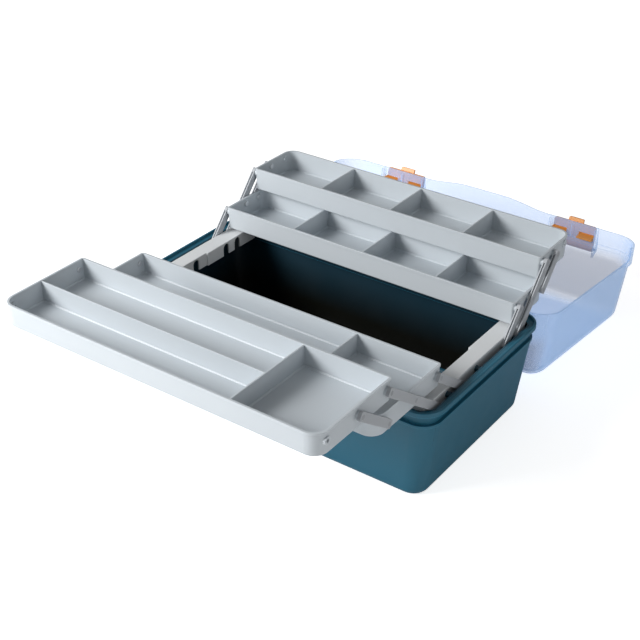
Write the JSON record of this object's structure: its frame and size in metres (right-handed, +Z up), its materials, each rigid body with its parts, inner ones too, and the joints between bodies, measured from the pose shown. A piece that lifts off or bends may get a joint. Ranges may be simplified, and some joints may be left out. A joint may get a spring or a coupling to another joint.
{
  "type": "tackle box",
  "caption": "Cantilever tackle box, shown open: a deep tub with linked trays folding out to front and rear, and a clear lid with latches laid back behind.",
  "frame": {"origin": "centre of the tub's flat underside", "axes": "+X along the box, to the right seen from the front; +Y from the front to the lid's hinge; +Z up"},
  "size_m": [0.4728, 0.7206, 0.194],
  "materials": {
    "tub_plastic": "satin",
    "tray_plastic": "satin",
    "bracket_plastic": "satin",
    "link_plastic": "satin",
    "lid_plastic": "translucent",
    "latch_plastic": "gloss",
    "handle_plastic": "gloss",
    "rivet_metal": "satin",
    "steel": "plain"
  },
  "bodies": {
    "base": {"base_tub": "tub_plastic", "left_bracket": "bracket_plastic", "right_bracket": "bracket_plastic", "bracket_screws": "steel", "bracket_rivets": "rivet_metal", "left_hinge_pin": "steel", "right_hinge_pin": "steel"},
    "lid": {"lid_shell": "lid_plastic", "handle_pins": "steel", "left_latch_pin": "steel", "right_latch_pin": "steel"},
    "left_latch": {"left_latch": "latch_plastic"},
    "right_latch": {"right_latch": "latch_plastic"},
    "handle": {"carry_handle": "handle_plastic"},
    "front_lower_links": {"left_front_lower_link": "link_plastic", "right_front_lower_link": "link_plastic"},
    "front_long_links": {"left_front_long_link": "link_plastic", "right_front_long_link": "link_plastic"},
    "front_upper_links": {"left_front_upper_link": "link_plastic", "right_front_upper_link": "link_plastic"},
    "front_lower_tray": {"front_lower_tray": "tray_plastic", "front_lower_divider": "tray_plastic", "front_lower_tray_rivets": "rivet_metal"},
    "front_upper_tray": {"front_upper_tray": "tray_plastic", "front_upper_dividers": "tray_plastic", "front_upper_tray_rivets": "rivet_metal"},
    "rear_lower_links": {"left_rear_lower_link": "link_plastic", "right_rear_lower_link": "link_plastic"},
    "rear_long_links": {"left_rear_long_link": "link_plastic", "right_rear_long_link": "link_plastic"},
    "rear_upper_links": {"left_rear_upper_link": "link_plastic", "right_rear_upper_link": "link_plastic"},
    "rear_lower_tray": {"rear_lower_tray": "tray_plastic", "rear_lower_dividers": "tray_plastic", "rear_lower_tray_rivets": "rivet_metal"},
    "rear_upper_tray": {"rear_upper_tray": "tray_plastic", "rear_upper_dividers": "tray_plastic", "rear_upper_tray_rivets": "rivet_metal"}
  },
  "joints": [
    {"name": "tray_fold", "type": "hinge", "parent": "base", "child": "front_lower_links", "pos_m": [0, -0.0418, 0.1118], "axis": [-1, 0, 0], "range_deg": [0, 111.29]},
    {"name": "front_long_links_fold", "type": "hinge", "parent": "base", "child": "front_long_links", "pos_m": [0, -0.0924, 0.1118], "axis": [-1, 0, 0], "range_deg": [0, 111.29]},
    {"name": "front_lower_tray_level", "type": "hinge", "parent": "front_lower_links", "child": "front_lower_tray", "pos_m": [0, -0.0898, 0.1474], "axis": [-1, 0, 0], "range_deg": [-111.29, 0]},
    {"name": "front_upper_links_fold", "type": "hinge", "parent": "front_lower_tray", "child": "front_upper_links", "pos_m": [0, -0.191, 0.1474], "axis": [-1, 0, 0], "range_deg": [0, 111.29]},
    {"name": "front_upper_tray_level", "type": "hinge", "parent": "front_long_links", "child": "front_upper_tray", "pos_m": [0, -0.1884, 0.183], "axis": [-1, 0, 0], "range_deg": [-111.29, 0]},
    {"name": "rear_lower_links_fold", "type": "hinge", "parent": "base", "child": "rear_lower_links", "pos_m": [0, 0.0588, 0.113], "axis": [1, 0, 0], "range_deg": [0, 83.61]},
    {"name": "rear_long_links_fold", "type": "hinge", "parent": "base", "child": "rear_long_links", "pos_m": [0, 0.0891, 0.113], "axis": [1, 0, 0], "range_deg": [0, 83.61]},
    {"name": "rear_lower_tray_level", "type": "hinge", "parent": "rear_lower_links", "child": "rear_lower_tray", "pos_m": [0, 0.08809, 0.1468], "axis": [1, 0, 0], "range_deg": [-83.61, 0]},
    {"name": "rear_upper_links_fold", "type": "hinge", "parent": "rear_lower_tray", "child": "rear_upper_links", "pos_m": [0, 0.14439, 0.1468], "axis": [1, 0, 0], "range_deg": [0, 83.61]},
    {"name": "rear_upper_tray_level", "type": "hinge", "parent": "rear_long_links", "child": "rear_upper_tray", "pos_m": [0, 0.14769, 0.1806], "axis": [1, 0, 0], "range_deg": [-83.61, 0]},
    {"name": "lid_hinge", "type": "hinge", "parent": "base", "child": "lid", "pos_m": [0, 0.1335, 0.116], "axis": [1, 0, 0], "range_deg": [0, 80]},
    {"name": "left_latch_hinge", "type": "hinge", "parent": "lid", "child": "left_latch", "pos_m": [0, 0.4018, 0.07523], "axis": [-1, 0, 0], "range_deg": [-12, 98]},
    {"name": "right_latch_hinge", "type": "hinge", "parent": "lid", "child": "right_latch", "pos_m": [0, 0.4018, 0.07523], "axis": [-1, 0, 0], "range_deg": [-4, 106]},
    {"name": "handle_hinge", "type": "hinge", "parent": "lid", "child": "handle", "pos_m": [0, 0.24447, 0.01933], "axis": [-1, 0, 0], "range_deg": [0, 90]}
  ],
  "couplings": [
    {"joint": "front_long_links_fold", "follows": "tray_fold", "ratio": 1},
    {"joint": "front_lower_tray_level", "follows": "tray_fold", "ratio": -1},
    {"joint": "front_upper_links_fold", "follows": "tray_fold", "ratio": 1},
    {"joint": "front_upper_tray_level", "follows": "tray_fold", "ratio": -1},
    {"joint": "rear_lower_links_fold", "follows": "tray_fold", "ratio": 0.75081},
    {"joint": "rear_long_links_fold", "follows": "tray_fold", "ratio": 0.75081},
    {"joint": "rear_lower_tray_level", "follows": "tray_fold", "ratio": -0.75081},
    {"joint": "rear_upper_links_fold", "follows": "tray_fold", "ratio": 0.75081},
    {"joint": "rear_upper_tray_level", "follows": "tray_fold", "ratio": -0.75081}
  ]
}
